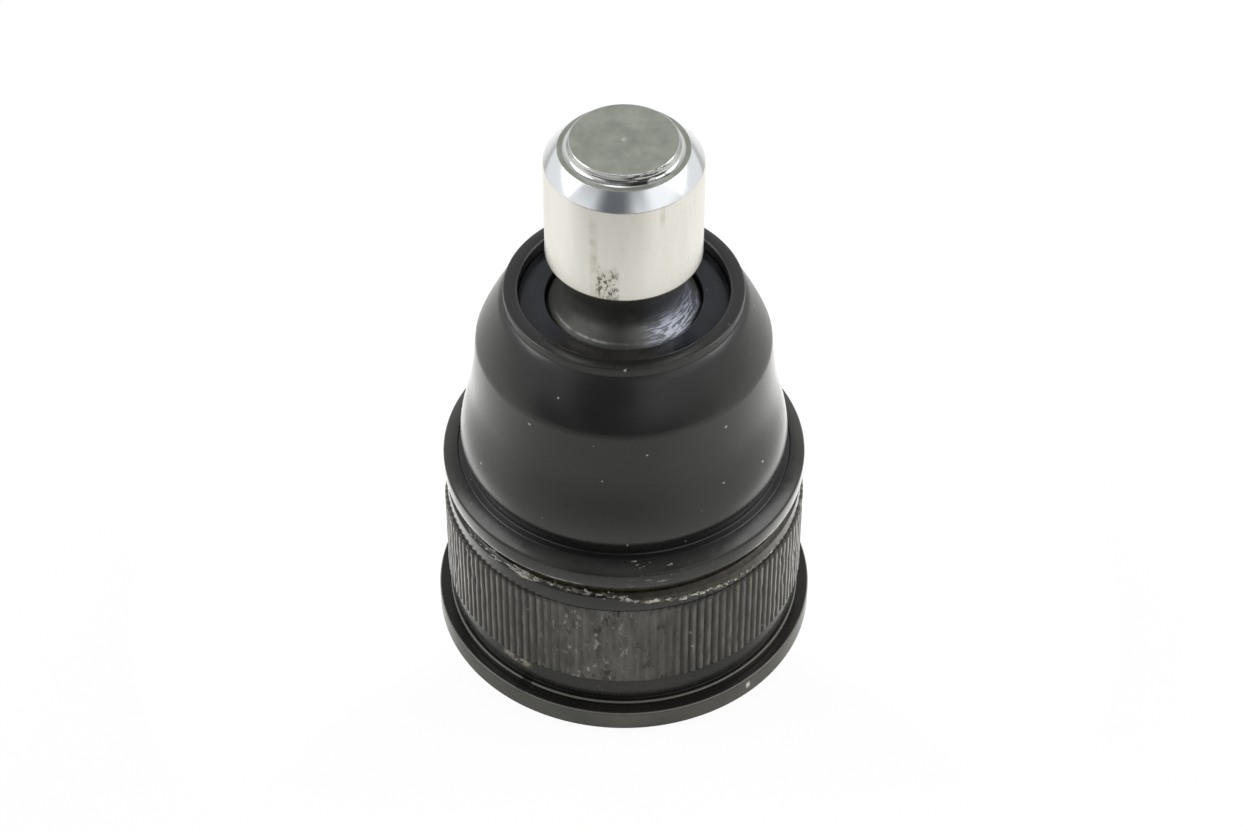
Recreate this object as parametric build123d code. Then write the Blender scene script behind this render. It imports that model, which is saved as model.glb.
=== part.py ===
from build123d import *
import math
import os

# A press-in suspension ball joint, standing on its flange. Millimetres, +Z up.
# The origin is the centre of the bottom face and the stud points up +Z.

# Stud: the pin that a knuckle clamps, with the cross groove of the pinch bolt below it
pin_r = 9.0
pin_length = 12.75
pin_base_rise = 41.2
chamfer_in = 1.6
chamfer_rise = 1.85
end_rim_width = 0.5
end_step_height = 1.2
end_cove_r = 0.7
end_edge_r = 0.15
centre_mark_r = 0.6
centre_mark_depth = 0.3
pinch_groove_r = 5.2
pinch_groove_depth = 2.05
seal_seat_length = 4.6
neck_r = 6.8
neck_length = 6.25
neck_fillet_r = 2.5

# Ball and its two plastic seats
ball_r = 13.0
ball_flat_depth = 2.3
swing_deg = 25.0
neck_clearance = 0.25
ball_clearance = 0.05
seat_wall = 2.2
seat_base_cut = 2.01
seat_split_gap = 0.3
seat_mouth_margin_deg = 5.0
grease_slot_width = 1.2
grease_slot_depth = 0.6
grease_slot_pairs = 4

# Housing: flange, relief groove, lands and serrated band
flange_r = 23.0
flange_thickness = 3.0
flange_edge_r = 0.35
shoulder_bead_r = 21.6
shoulder_bead_height = 0.5
relief_depth = 0.45
relief_width = 0.5
land_r = 21.4
serration_r = 21.75
serration_depth = 0.3
serration_base_z = 7.2
serration_lead = 0.3
tooth_count = 136
tooth_crest_share = 0.3
pilot_length = 2.15
pilot_chamfer = 0.5
recess_depth = 0.8
recess_height = 0.8
spigot_r = 18.4
spigot_height = 3.0
spigot_lip = 0.4
spigot_lip_height = 0.8
bore_clearance = 0.05
mouth_depth = 0.65
mouth_flare = 0.5

# Underside: cover plate, disc spring and the lip that is rolled over the plate
cover_ledge = 2.05
cover_thickness = 2.4
cover_clearance = 0.05
cover_base_z = 1.2
cover_chamfer = 0.5
dish_r = 8.2
dish_slope = 1.2
dish_depth = 0.8
lip_thickness = 0.9
lip_cover = 1.5
lip_tip_chamfer = 0.3
lip_groove_width = 0.8
lip_groove_depth = 1.6
spring_thickness = 0.8
spring_rise = 0.55
spring_bore_r = 8.6
spring_clearance = 0.02

# Rubber boot
boot_wall = 1.7
foot_width = 2.35
foot_clearance = 0.05
foot_waist_gap = 1.0
foot_waist_rise = 1.1
skirt_r = 19.5
skirt_rise = 3.2
waisted_r = 18.2
waisted_share = 0.466
cone_r = 17.25
shoulder_height = 6.0
shoulder_step = 0.45
rim_height = 1.6
rim_width = 1.7
rim_edge_r = 0.4
lip_block_height = 3.2
lip_clearance = 0.2

# Sheet ring that holds the boot's foot, and stiff ring in the boot's mouth
collar_wall = 0.85
collar_height = 2.15
collar_slope_rise = 0.8
collar_edge_r = 0.3
collar_gap = 0.75
collar_cap_width = 1.8
neck_ring_width = 3.12
neck_ring_thickness = 1.5
neck_ring_overhang = 0.97
neck_ring_drop = 1.5
neck_ring_clearance = 0.08
ring_fit = 0.03

def outline(*curves):
    """A closed face in the XZ plane, from curves given as (radius, height) points."""
    return Plane.XZ * make_face(Curve() + list(curves))


def turned(*curves):
    """A solid turned about the Z axis from its half section."""
    return revolve(outline(*curves), Axis.Z)


def mouth_limit(height):
    """The radius that the swung neck needs at a height above the ball's centre."""
    swing = math.radians(swing_deg)
    return height * math.tan(swing) + neck_r / math.cos(swing) + neck_clearance


def throat_height():
    """How far above the ball's centre the spherical shoulder can reach and leave the swung neck room."""
    slope = math.tan(math.radians(swing_deg))
    a = 1 + slope**2
    b = 2 * slope * mouth_limit(0)
    c = mouth_limit(0) ** 2 - bore_r**2
    return (math.sqrt(b**2 - 4 * a * c) - b) / (2 * a)


# Heights inside, from the cover up to the ball, its throat and the top of the housing
bore_r = ball_r + ball_clearance + seat_wall + bore_clearance
cover_r = bore_r + cover_ledge
cover_top_z = cover_base_z + cover_thickness
seat_base_z = cover_top_z + spring_thickness + spring_rise + 3 * spring_clearance
ball_centre_z = seat_base_z + ball_r - seat_base_cut
throat_z = ball_centre_z + throat_height()
throat_r = mouth_limit(throat_height())
spigot_top_z = throat_z + mouth_depth

# Heights outside, down to the serrated band, which takes the length that is left
spigot_base_z = spigot_top_z - spigot_height
recess_base_z = spigot_base_z - recess_height
land_top_z = recess_base_z - pilot_chamfer
serration_length = land_top_z - pilot_length - serration_base_z
recess_r = land_r - recess_depth

# Heights of the stud
pin_base_z = ball_centre_z + pin_base_rise
groove_half = math.sqrt(pinch_groove_r**2 - (pinch_groove_r - pinch_groove_depth) ** 2)
groove_z = pin_base_z - groove_half
seal_seat_top_z = groove_z - groove_half

# The sheet ring goes round the boot's foot, and the foot round the spigot
foot_r = spigot_r + foot_clearance
foot_outer_r = foot_r + foot_width
collar_inner_r = foot_outer_r + foot_clearance
collar_r = collar_inner_r + collar_wall
collar_base_z = spigot_base_z + collar_gap
cap_r = collar_r - collar_cap_width
cap_under_z = collar_base_z + collar_height - collar_wall

# The boot's mouth goes round the stiff ring, and the ring round the stud
neck_ring_r = pin_r + neck_ring_clearance + neck_ring_width
neck_ring_top_z = seal_seat_top_z + neck_ring_overhang
neck_ring_base_z = neck_ring_top_z - neck_ring_thickness
rim_r = neck_ring_r + rim_width
rim_top_z = neck_ring_top_z + neck_ring_drop
shoulder_r = rim_r + shoulder_step
shoulder_z = rim_top_z - rim_height

# The boot's side between its foot and its mouth
foot_waist_r = cap_r - foot_waist_gap
foot_waist_z = spigot_top_z + foot_waist_rise
skirt_z = spigot_top_z + skirt_rise
cone_z = shoulder_z - shoulder_height
waisted_z = skirt_z + waisted_share * (cone_z - skirt_z)


def on_sphere(radius, height):
    """The radius at which a sphere about the ball's centre is cut at a height."""
    return math.sqrt(radius**2 - (height - ball_centre_z) ** 2)


def sphere_arc(radius, low, high):
    """An arc of a sphere about the ball's centre, from its point at one height to another."""
    middle = (low + high) / 2
    start = (on_sphere(radius, low), low)
    end = (on_sphere(radius, high), high)
    return ThreePointArc(start, (on_sphere(radius, middle), middle), end)


def housing_body():
    """Housing turned from bar: rolled lip, flange, lands, spigot, mouth and seat bore."""
    lip_r = cover_r + cover_clearance + lip_thickness
    groove_r = lip_r + lip_groove_width
    lip_tip_r = cover_r - lip_cover
    relief_r = land_r - relief_depth
    relief_z = flange_thickness + shoulder_bead_height
    core_r = serration_r - serration_depth - relief_depth
    flange_side = [
        (groove_r, 0),
        (flange_r - flange_edge_r, 0),
        (flange_r, flange_edge_r),
        (flange_r, flange_thickness - flange_edge_r / 2),
        (flange_r - flange_edge_r / 2, flange_thickness),
        (shoulder_bead_r, flange_thickness),
        (shoulder_bead_r, relief_z),
        (relief_r, relief_z),
        (relief_r, relief_z + relief_width),
        (land_r, relief_z + relief_width + relief_depth),
        (land_r, serration_base_z),
    ]
    band_side = [
        (core_r, serration_base_z),
        (core_r, serration_base_z + serration_length),
        (land_r, serration_base_z + serration_length),
        (land_r, land_top_z),
        (land_r - pilot_chamfer, recess_base_z),
        (recess_r, recess_base_z),
        (recess_r, spigot_base_z),
        (spigot_r, spigot_base_z),
        (spigot_r, spigot_top_z - spigot_lip_height - spigot_lip),
        (spigot_r + spigot_lip, spigot_top_z - spigot_lip_height),
        (spigot_r + spigot_lip, spigot_top_z - spigot_lip),
        (spigot_r, spigot_top_z),
        (mouth_limit(spigot_top_z - ball_centre_z) + mouth_flare, spigot_top_z),
        (throat_r, throat_z),
    ]
    bore_side = [
        (bore_r, ball_centre_z),
        (bore_r, cover_top_z + cover_clearance),
        (cover_r + cover_clearance, cover_top_z + cover_clearance),
        (cover_r + cover_clearance, cover_base_z + cover_chamfer),
        (cover_r + cover_clearance - cover_chamfer, cover_base_z - cover_clearance),
        (lip_tip_r, cover_base_z - cover_clearance),
        (lip_tip_r, cover_base_z - lip_thickness + lip_tip_chamfer),
        (lip_tip_r + lip_tip_chamfer, cover_base_z - lip_thickness),
    ]
    lip_start = (lip_r - lip_thickness, cover_base_z - lip_thickness)
    lip_end = (lip_r, cover_base_z)
    shoulder = sphere_arc(bore_r, throat_z, ball_centre_z)
    return turned(
        Polyline(*flange_side, *band_side),
        shoulder,
        Polyline(*bore_side, lip_start),
        RadiusArc(lip_start, lip_end, -lip_thickness),
        Polyline(lip_end, (lip_r, lip_groove_depth), (groove_r, lip_groove_depth), flange_side[0]),
    )


def tooth(index):
    """Corners of one tooth, from its valley over both edges of its crest."""
    pitch = 2 * math.pi / tooth_count
    start = index * pitch
    flank = pitch * (1 - tooth_crest_share) / 2
    valley_r = serration_r - serration_depth
    return [
        (valley_r * math.cos(start), valley_r * math.sin(start)),
        (serration_r * math.cos(start + flank), serration_r * math.sin(start + flank)),
        (serration_r * math.cos(start + pitch - flank), serration_r * math.sin(start + pitch - flank)),
    ]


def serration():
    """The ring of straight teeth that bites into the arm's eye, with a lead at both ends."""
    edges = []
    for index in range(tooth_count):
        valley, rise, fall = tooth(index)
        edges.append(Line(valley, rise))
        edges.append(RadiusArc(rise, fall, -serration_r))
        edges.append(Line(fall, tooth(index + 1)[0]))
    hole = Circle(bore_r + seat_wall)
    ring = extrude(make_face(Curve() + edges) - hole, serration_length)
    low = serration_r - serration_depth
    lead = turned(
        Polyline(
            (low, 0),
            (serration_r, serration_lead),
            (serration_r, serration_length - serration_lead),
            (low, serration_length),
            (bore_r, serration_length),
            (bore_r, 0),
            close=True,
        )
    )
    return Pos(0, 0, serration_base_z) * (ring & lead)


def housing():
    return housing_body() + serration()


def cover_plate():
    """Dished plate that closes the underside, held by the rolled lip."""
    return turned(
        Polyline(
            (0, cover_base_z - dish_depth),
            (dish_r - dish_slope, cover_base_z - dish_depth),
            (dish_r, cover_base_z),
            (cover_r - cover_chamfer, cover_base_z),
            (cover_r, cover_base_z + cover_chamfer),
            (cover_r, cover_top_z),
            (dish_r, cover_top_z),
            (dish_r - dish_slope, cover_top_z - dish_depth),
            (0, cover_top_z - dish_depth),
            close=True,
        )
    )


def preload_spring():
    """Disc spring: its outer edge stands on the cover and its inner edge lifts the seat."""
    outer = bore_r - bore_clearance
    base = cover_top_z + spring_clearance
    return turned(
        Polyline(
            (outer, base),
            (outer, base + spring_thickness),
            (spring_bore_r, base + spring_thickness + spring_rise),
            (spring_bore_r, base + spring_rise),
            close=True,
        )
    )


def grease_slots():
    """Shallow slots along the meridians of the ball, as crossed plates of a larger sphere."""
    reach = 2 * (ball_r + ball_clearance + grease_slot_depth)
    plates = []
    for index in range(grease_slot_pairs):
        plate = Box(reach, grease_slot_width, reach)
        plates.append(Rot(0, 0, 180 * index / grease_slot_pairs) * plate)
    ball = Sphere(reach / 2)
    return Pos(0, 0, ball_centre_z) * (ball & (Part() + plates))


def lower_seat():
    """Cup under the ball's equator, open at the bottom for grease."""
    inner = ball_r + ball_clearance
    outer = bore_r - bore_clearance
    top = ball_centre_z - seat_split_gap / 2
    return turned(
        sphere_arc(inner, seat_base_z, top),
        Polyline(
            (on_sphere(inner, top), top),
            (outer, top),
            (outer, seat_base_z),
            (on_sphere(inner, seat_base_z), seat_base_z),
        ),
    ) - grease_slots()


def upper_seat():
    """Spherical ring over the ball's equator, under the housing's shoulder."""
    inner = ball_r + ball_clearance
    outer = bore_r - bore_clearance
    base = ball_centre_z + seat_split_gap / 2
    mouth = swing_deg + math.degrees(math.asin(neck_r / ball_r)) + seat_mouth_margin_deg
    mouth_z = ball_centre_z + inner * math.cos(math.radians(mouth))
    rim_z = throat_z - seat_split_gap
    return turned(
        sphere_arc(inner, base, mouth_z),
        Line((on_sphere(inner, mouth_z), mouth_z), (on_sphere(outer, rim_z), rim_z)),
        sphere_arc(outer, rim_z, base),
        Line((on_sphere(outer, base), base), (on_sphere(inner, base), base)),
    ) - grease_slots()


def ball_stud():
    """One forging: ball, neck, seal seat, cross groove and clamping pin."""
    flat_z = ball_centre_z - ball_r + ball_flat_depth
    neck_join_z = ball_centre_z + math.sqrt(ball_r**2 - neck_r**2)
    seat_low_z = seal_seat_top_z - seal_seat_length
    cone_low_z = neck_join_z + neck_length
    pin_top_z = pin_base_z + pin_length
    rim_z = pin_top_z + chamfer_rise
    rim_outer_r = pin_r - chamfer_in
    cove_r = rim_outer_r - end_rim_width
    end_r = cove_r - end_cove_r
    end_z = rim_z + end_step_height
    groove_bottom_r = pin_r - pinch_groove_depth
    stud = turned(
        Line((0, flat_z), (on_sphere(ball_r, flat_z), flat_z)),
        ThreePointArc((on_sphere(ball_r, flat_z), flat_z), (ball_r, ball_centre_z), (neck_r, neck_join_z)),
        Polyline((neck_r, neck_join_z), (neck_r, cone_low_z), (pin_r, seat_low_z), (pin_r, seal_seat_top_z)),
        ThreePointArc((pin_r, seal_seat_top_z), (groove_bottom_r, groove_z), (pin_r, pin_base_z)),
        Polyline((pin_r, pin_base_z), (pin_r, pin_top_z), (rim_outer_r, rim_z), (cove_r, rim_z)),
        RadiusArc((cove_r, rim_z), (end_r, rim_z + end_cove_r), end_cove_r),
        Polyline(
            (end_r, rim_z + end_cove_r),
            (end_r, end_z - end_edge_r),
            (end_r - end_edge_r, end_z),
            (centre_mark_r, end_z),
            (0, end_z - centre_mark_depth),
            (0, flat_z),
        ),
    )
    neck_ring = stud.edges().filter_by(GeomType.CIRCLE).sort_by(lambda e: abs(e.center().Z - neck_join_z))[0]
    return fillet(neck_ring, neck_fillet_r)


def dust_boot():
    """Rubber boot: foot bead on the spigot, waist, skirt, cone, shoulder, rim and sealing lip."""
    lip_base_z = neck_ring_base_z - lip_block_height
    lip_r = pin_r + lip_clearance
    ring_seat_z = neck_ring_base_z - ring_fit
    ring_seat_r = neck_ring_r + ring_fit
    inner_lip_r = foot_r + spigot_lip
    lip_groove_z = spigot_top_z - spigot_lip_height
    outer = [
        Polyline(
            (foot_r, spigot_base_z + foot_clearance),
            (foot_outer_r, spigot_base_z + foot_clearance),
            (foot_outer_r, cap_under_z - foot_clearance),
            (cap_r, cap_under_z + collar_slope_rise - 2 * foot_clearance),
            (foot_waist_r, foot_waist_z - boot_wall / 4),
        ),
        Spline(
            (foot_waist_r, foot_waist_z - boot_wall / 4),
            (skirt_r, skirt_z),
            (waisted_r, waisted_z),
            (cone_r, cone_z),
            tangents=[(0.3, 1), (-0.1, 1)],
        ),
        Spline((cone_r, cone_z), (shoulder_r, shoulder_z), tangents=[(-0.35, 1), (-0.45, 1)]),
        Polyline(
            (shoulder_r, shoulder_z),
            (rim_r, shoulder_z + rim_edge_r),
            (rim_r, rim_top_z - rim_edge_r),
        ),
        RadiusArc((rim_r, rim_top_z - rim_edge_r), (rim_r - rim_edge_r, rim_top_z), -rim_edge_r),
    ]
    mouth = [
        Polyline(
            (rim_r - rim_edge_r, rim_top_z),
            (rim_r - rim_width + rim_edge_r / 2, rim_top_z),
            (ring_seat_r, rim_top_z - rim_edge_r / 2),
            (ring_seat_r, ring_seat_z),
            (lip_r, ring_seat_z),
            (lip_r, lip_base_z),
            (lip_r + boot_wall, lip_base_z),
            (shoulder_r - boot_wall, lip_base_z + boot_wall / 2),
        ),
    ]
    inner = [
        Spline(
            (shoulder_r - boot_wall, lip_base_z + boot_wall / 2),
            (cone_r - boot_wall, cone_z - boot_wall / 2),
            tangents=[(0.9, -0.6), (0.1, -1)],
        ),
        Spline(
            (cone_r - boot_wall, cone_z - boot_wall / 2),
            (waisted_r - boot_wall, waisted_z),
            (skirt_r - boot_wall, skirt_z),
            (foot_waist_r - boot_wall, foot_waist_z),
            tangents=[(0.1, -1), (-0.3, -1)],
        ),
        Polyline(
            (foot_waist_r - boot_wall, foot_waist_z),
            (foot_waist_r - boot_wall, spigot_top_z + foot_clearance),
            (foot_r, spigot_top_z + foot_clearance),
            (inner_lip_r, spigot_top_z - spigot_lip),
            (inner_lip_r, lip_groove_z),
            (foot_r, lip_groove_z - spigot_lip),
            (foot_r, spigot_base_z + foot_clearance),
        ),
    ]
    return turned(*outer, *mouth, *inner)


def boot_retainer_ring():
    """Pressed sheet ring: a wall round the boot's foot and a cap that slopes up inward."""
    corner_z = collar_base_z + collar_height
    cap_z = corner_z + collar_slope_rise
    return turned(
        Polyline(
            (collar_inner_r, collar_base_z),
            (collar_r - collar_edge_r / 2, collar_base_z),
            (collar_r, collar_base_z + collar_edge_r / 2),
            (collar_r, corner_z - collar_edge_r),
        ),
        RadiusArc((collar_r, corner_z - collar_edge_r), (collar_r - collar_edge_r, corner_z), -collar_edge_r),
        Polyline(
            (collar_r - collar_edge_r, corner_z),
            (cap_r, cap_z),
            (cap_r, cap_z - collar_wall),
            (collar_inner_r, corner_z - collar_wall),
            (collar_inner_r, collar_base_z),
        ),
    )


def boot_neck_ring():
    """Stiff ring seated in the boot's mouth, round the stud's seal seat."""
    bore = pin_r + neck_ring_clearance
    return turned(
        Polyline(
            (bore, neck_ring_base_z),
            (neck_ring_r, neck_ring_base_z),
            (neck_ring_r, neck_ring_top_z),
            (bore, neck_ring_top_z),
            close=True,
        )
    )


os.makedirs("parts", exist_ok=True)
export_step(housing(), "parts/housing.step")
export_step(cover_plate(), "parts/cover_plate.step")
export_step(preload_spring(), "parts/preload_spring.step")
export_step(lower_seat(), "parts/lower_seat.step")
export_step(upper_seat(), "parts/upper_seat.step")
export_step(ball_stud(), "parts/ball_stud.step")
export_step(dust_boot(), "parts/dust_boot.step")
export_step(boot_retainer_ring(), "parts/boot_retainer_ring.step")
export_step(boot_neck_ring(), "parts/boot_neck_ring.step")
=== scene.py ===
import math
import random

import bmesh
import bpy
from mathutils import Matrix, Vector, noise
from mathutils.geometry import interpolate_bezier


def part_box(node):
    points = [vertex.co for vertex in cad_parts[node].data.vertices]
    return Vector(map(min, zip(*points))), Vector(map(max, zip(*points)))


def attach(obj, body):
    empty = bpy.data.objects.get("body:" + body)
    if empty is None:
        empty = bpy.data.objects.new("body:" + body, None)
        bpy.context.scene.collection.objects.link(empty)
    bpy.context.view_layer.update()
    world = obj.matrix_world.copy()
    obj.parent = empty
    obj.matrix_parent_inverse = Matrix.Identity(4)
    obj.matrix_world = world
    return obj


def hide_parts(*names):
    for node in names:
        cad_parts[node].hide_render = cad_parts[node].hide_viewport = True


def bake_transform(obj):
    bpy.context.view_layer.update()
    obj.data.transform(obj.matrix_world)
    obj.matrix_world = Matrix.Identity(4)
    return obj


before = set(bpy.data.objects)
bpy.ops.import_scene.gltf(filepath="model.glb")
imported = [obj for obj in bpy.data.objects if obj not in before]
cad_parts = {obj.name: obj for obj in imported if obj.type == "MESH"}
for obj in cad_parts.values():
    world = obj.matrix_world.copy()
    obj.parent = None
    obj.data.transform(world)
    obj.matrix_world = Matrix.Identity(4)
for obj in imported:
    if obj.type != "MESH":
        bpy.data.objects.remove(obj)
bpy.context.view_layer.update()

MM = 0.001
# Facets round a turned piece, and the angle from which an edge is shaded as sharp
STEPS = 192
SHARP_DEG = 28

# Camera, table and room, in millimetres and degrees. The table's colour is painted darker, as painted
# shade, towards TABLE_DIM_DEG from
# TABLE_DIM_FROM outwards; it is painted near black past its front edge at TABLE_EDGE, and glows beside and
# behind the part up to PAD_EDGE.
# GAP_DEG is how far the dark gap past the front edge reaches to each side, fully and at most.
CAMERA_PLACE = (0, -268.6, 293.9)
CAMERA_DOWN_DEG = 44.44
CAMERA_LENS = 91.16
CAMERA_SENSOR = 36
TABLE_REACH = 3000
TABLE_EDGE = 300
TABLE_EDGE_FADE = 70
TABLE_DIM_FROM = 50
TABLE_DIM_BY = 120
TABLE_DIM_DEG = -20
TABLE_SEEN_WHITE = 0.94
PAD_FULL = 54
PAD_EDGE = 62
PAD_GLOW = 1.5
FRONT_DEG = 0
GAP_DEG = (57, 72)
FIGURE_DEG = -14
WINDOW_DEG = 66

# Radii and heights that several pieces share, in millimetres
PIN_R = 9.0
LAND_R = 21.4
CREST_R = 21.75
VALLEY_R = 21.45
SPIGOT_R = 18.4
FOOT_R = 18.45
BAND_FOOT = 7.2
BAND_TOP = 19.55
LAND_TOP = 21.7

# The scraped line across the land's front: it drops between two places and then sinks slowly to the right
SCRAPE_HIGH = 22.0
SCRAPE_LOW = 21.0
SCRAPE_DROP_FROM = -2.6
SCRAPE_DROP_TO = 3.7
SCRAPE_END = 18
SCRAPE_SINK = 0.063

# Where most values of a noise texture lie
MIDDLE = {"From Min": 0.3, "From Max": 0.7}


def girth(node):
    """A node's outer radius, foot and top at rest, in millimetres."""
    low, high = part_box(node)
    return high[0] / MM, low[2] / MM, high[2] / MM


def stud_levels():
    """Heights of the stud's end, its flat ring, and the pin's top and foot, in millimetres."""
    end = girth("ball_stud")[2]
    ring = end - 1.2
    pin_top = ring - 1.85
    return end, ring, pin_top, pin_top - 12.75


def hex_colour(text):
    """An sRGB hex colour as linear values with full opacity."""
    parts = [int(text[i : i + 2], 16) / 255 for i in (1, 3, 5)]
    linear = [p / 12.92 if p <= 0.04045 else ((p + 0.055) / 1.055) ** 2.4 for p in parts]
    return (*linear, 1)


def per(size_mm):
    """The texture scale whose features are about this size, on Object coordinates in metres."""
    return 1 / (size_mm * MM)


def add(tree, kind, inputs=None, stops=None, **settings):
    """A node with its settings, its inputs as values, hex colours, sockets or nodes, and a ramp's stops."""
    new = tree.nodes.new("ShaderNode" + kind)
    for name, value in settings.items():
        setattr(new, name, value)
    for name, value in (inputs or {}).items():
        if isinstance(value, bpy.types.Node):
            value = value.outputs[0]
        if isinstance(value, bpy.types.NodeSocket):
            tree.links.new(value, new.inputs[name])
        else:
            new.inputs[name].default_value = hex_colour(value) if isinstance(value, str) else value
    if stops:
        ramp = new.color_ramp
        while len(ramp.elements) < len(stops):
            ramp.elements.new(0.5)
        for element, (place, colour) in zip(ramp.elements, stops):
            element.position = place
            element.color = hex_colour(colour) if isinstance(colour, str) else (colour, colour, colour, 1)
    return new


def surface(name, **constants):
    """A material with its tree, its Principled shader and the Object coordinates."""
    material = bpy.data.materials.new(name)
    material.use_nodes = True
    tree = material.node_tree
    tree.nodes.clear()
    shader = add(tree, "BsdfPrincipled")
    for socket, value in constants.items():
        shader.inputs[socket].default_value = value
    add(tree, "OutputMaterial", {"Surface": shader})
    place = add(tree, "TexCoord").outputs["Object"]
    return material, tree, shader, place


def dress(tree, shader, colour, gloss, height, depth_mm):
    """Colour, roughness and relief of a given depth go into the shader."""
    bump = add(tree, "Bump", {"Height": height, "Strength": 1, "Distance": depth_mm * MM})
    tree.links.new(colour.outputs[0], shader.inputs["Base Color"])
    tree.links.new(gloss.outputs[0], shader.inputs["Roughness"])
    tree.links.new(bump.outputs[0], shader.inputs["Normal"])


# Patterns that several finishes share


def times(tree, *masks):
    """Where all the masks are 1."""
    whole = masks[0]
    for mask in masks[1:]:
        whole = add(tree, "Math", {0: whole, 1: mask}, operation="MULTIPLY")
    return whole


def height_of(tree, place):
    """Height over the table, in metres."""
    return add(tree, "SeparateXYZ", {"Vector": place}).outputs["Z"]


def distance_from_axis(tree, place):
    """Distance from the stud's upright axis, in metres."""
    flat = add(tree, "VectorMath", {0: place, 1: (1, 1, 0)}, operation="MULTIPLY")
    return add(tree, "VectorMath", {0: flat}, operation="LENGTH").outputs["Value"]


def between(tree, value, low_mm, high_mm, soft_mm):
    """1 where a length lies between two limits, with soft edges."""
    rise = {"From Min": (low_mm - soft_mm) * MM, "From Max": (low_mm + soft_mm) * MM}
    fall = {"From Min": (high_mm + soft_mm) * MM, "From Max": (high_mm - soft_mm) * MM}
    return times(tree, *[add(tree, "MapRange", {"Value": value, **limits}) for limits in (rise, fall)])


def towards(tree, place, azimuth_deg, full_deg, none_deg):
    """1 on the side that faces an azimuth, which is counted from the front towards +X."""
    turn = math.radians(azimuth_deg)
    flat = add(tree, "VectorMath", {0: place, 1: (1, 1, 0)}, operation="MULTIPLY")
    level = add(tree, "VectorMath", {0: flat}, operation="NORMALIZE")
    way = (math.sin(turn), -math.cos(turn), 0)
    facing = add(tree, "VectorMath", {0: level, 1: way}, operation="DOT_PRODUCT").outputs["Value"]
    limits = {"From Min": math.cos(math.radians(none_deg)), "From Max": math.cos(math.radians(full_deg))}
    return add(tree, "MapRange", {"Value": facing, **limits}, interpolation_type="SMOOTHSTEP")


def specks(tree, place, spacing_mm, size_mm, share):
    """1 on small ragged marks of about one size, in a share of cells that lie one spacing apart."""
    shake = add(tree, "TexNoise", {"Vector": place, "Scale": per(size_mm * 0.7), "Detail": 2})
    reach = (0.9 * size_mm * MM,) * 3
    shaken = {0: shake.outputs["Color"], 1: reach, 2: place}
    ragged = add(tree, "VectorMath", shaken, operation="MULTIPLY_ADD")
    cells = add(tree, "TexVoronoi", {"Vector": ragged, "Scale": per(spacing_mm)})
    edge = size_mm / spacing_mm / 2
    near = add(tree, "MapRange", {"Value": cells, "From Min": edge, "From Max": edge * 0.6})
    picked = add(tree, "Math", {0: cells.outputs["Color"], 1: 1 - share}, operation="GREATER_THAN")
    return times(tree, near, picked)


def scratches(tree, place, width_mm, onset):
    """1 on ragged level scratches of about one width; a higher onset leaves fewer of them."""
    level = add(tree, "Mapping", {"Vector": place, "Scale": (0.12, 0.12, 1)})
    ragged = {"Scale": per(2 * width_mm), "Detail": 4, "Roughness": 0.7}
    run = add(tree, "TexNoise", {"Vector": level, **ragged})
    return add(tree, "MapRange", {"Value": run, "From Min": onset, "From Max": onset + 0.05})


def scuffs(tree, place, size_mm, onset):
    """1 on irregular upright scuffs of about one size; a higher onset leaves fewer of them."""
    upright = add(tree, "Mapping", {"Vector": place, "Scale": (1, 1, 0.5)})
    ragged = {"Scale": per(size_mm), "Detail": 5, "Roughness": 0.75}
    torn = add(tree, "TexNoise", {"Vector": upright, **ragged})
    return add(tree, "MapRange", {"Value": torn, "From Min": onset, "From Max": onset + 0.04})


def layered(tree, base, *coats):
    """A base colour with others laid over it, each where its mask is 1."""
    for mask, tone in coats:
        base = add(tree, "MixRGB", {"Fac": mask, "Color1": base, "Color2": tone})
    return base


# Geometry


def arc(cx, cz, degrees, steps=8):
    """A profile move: turn the pen about a point, positive from +Z towards +X."""
    return ("arc", cx, cz, degrees, steps)


def curve(first, second, end, steps=8):
    """A profile move: a Bezier run with two handles and an end point."""
    return ("curve", first, second, end, steps)


def draw_profile(bm, moves, closed):
    """Wire edges in the XZ plane, with the corners rounded that name a radius."""
    pen = bm.verts.new((moves[0][0], 0, moves[0][1]))
    start = pen
    corners = {}
    if len(moves[0]) == 3:
        corners.setdefault(moves[0][2], []).append(pen)
    for move in moves[1:]:
        if move[0] == "arc":
            cx, cz, degrees, steps = move[1:]
            swept = bmesh.ops.spin(
                bm, geom=[pen], cent=(cx, 0, cz), axis=(0, 1, 0), angle=math.radians(degrees), steps=steps
            )
            pen = [v for v in swept["geom_last"] if isinstance(v, bmesh.types.BMVert)][0]
        elif move[0] == "curve":
            first, second, end, steps = move[1:]
            knots = [Vector((p[0], 0, p[1])) for p in ((pen.co.x, pen.co.z), first, second, end)]
            for point in interpolate_bezier(*knots, steps + 1)[1:]:
                following = bm.verts.new(point)
                bm.edges.new((pen, following))
                pen = following
        else:
            following = bm.verts.new((move[0], 0, move[1]))
            bm.edges.new((pen, following))
            pen = following
            if len(move) == 3:
                corners.setdefault(move[2], []).append(pen)
    if closed:
        bm.edges.new((pen, start))
    for size, verts in corners.items():
        bmesh.ops.bevel(
            bm, geom=verts, offset=size, segments=3, profile=0.5, affect="VERTICES", material=-1
        )


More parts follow.
